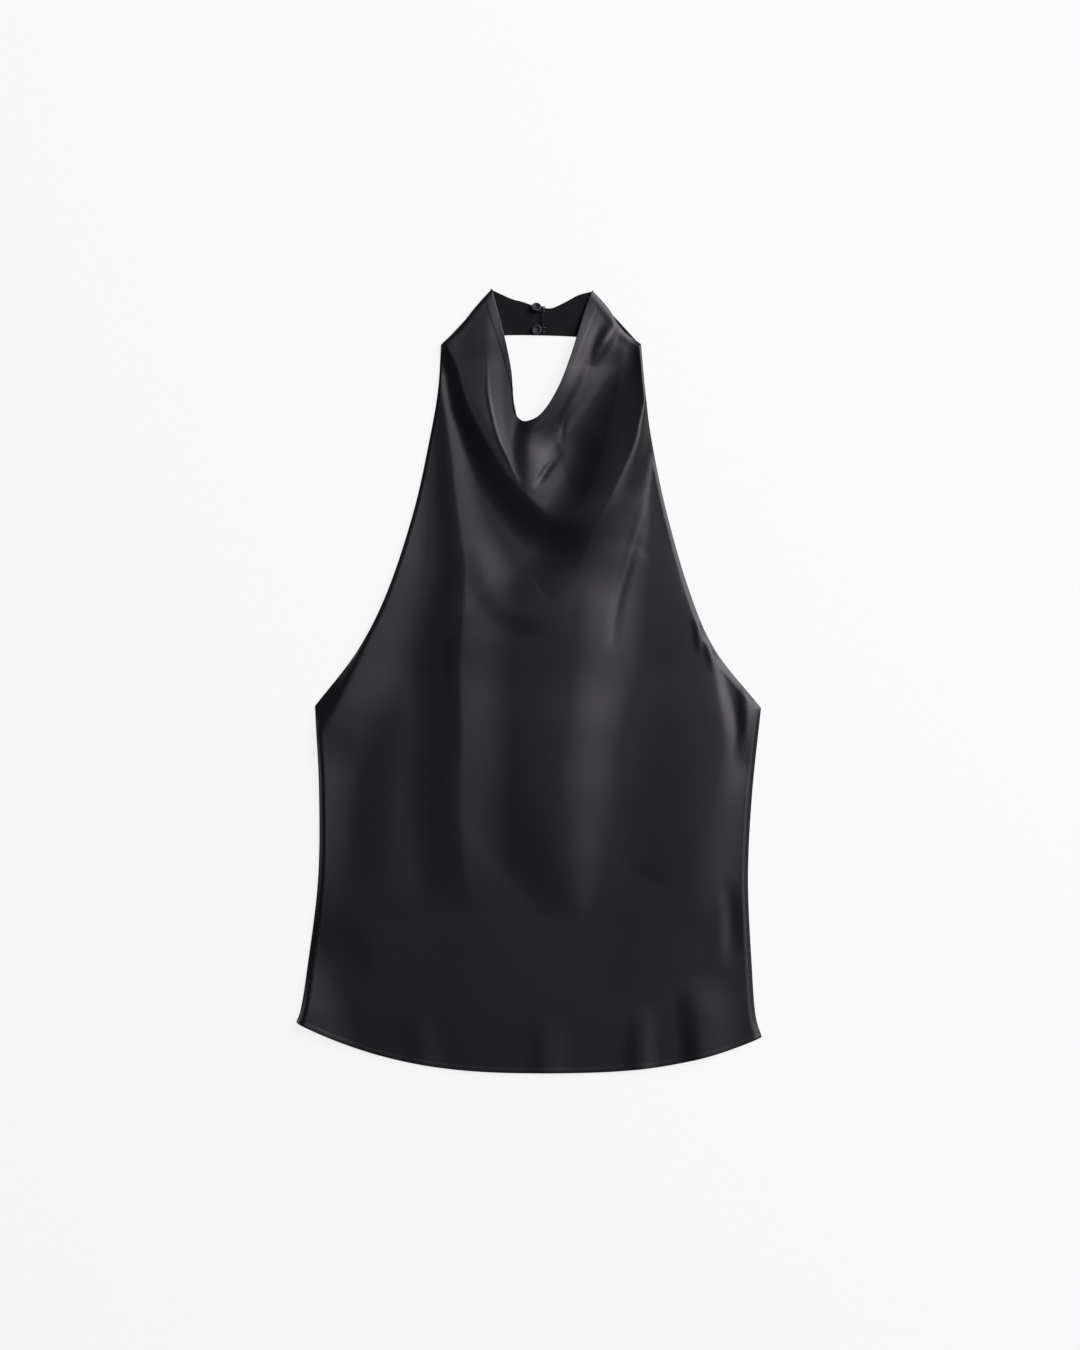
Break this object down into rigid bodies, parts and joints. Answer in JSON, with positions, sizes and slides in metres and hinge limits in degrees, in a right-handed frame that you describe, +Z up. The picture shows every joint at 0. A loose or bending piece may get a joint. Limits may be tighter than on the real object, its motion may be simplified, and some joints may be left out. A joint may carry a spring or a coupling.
{
  "type": "halter neck top",
  "caption": "Sleeveless satin top with a draped cowl front, low back and a tapered neck strap buttoned at the nape, laid out flat.",
  "frame": {"origin": "middle of the underside of the laid-out garment, on the surface that it rests on", "axes": "+X across the garment to the right as the picture shows it, +Y from the hem to the neck, +Z up off the surface"},
  "size_m": [0.4192, 0.7058, 0.0175],
  "materials": {
    "satin": "black satin, smooth and softly shiny, with a faint lilac cast",
    "button": "dark grey, polished rim and dished face",
    "loop": "black rolled satin cord"
  },
  "bodies": {
    "root": {"front_panel": "satin", "back_panel": "satin", "neck_strap_left": "satin", "neck_strap_right": "satin", "button_upper": "button", "button_lower": "button", "loop_upper": "loop", "loop_lower": "loop"}
  },
  "joints": []
}
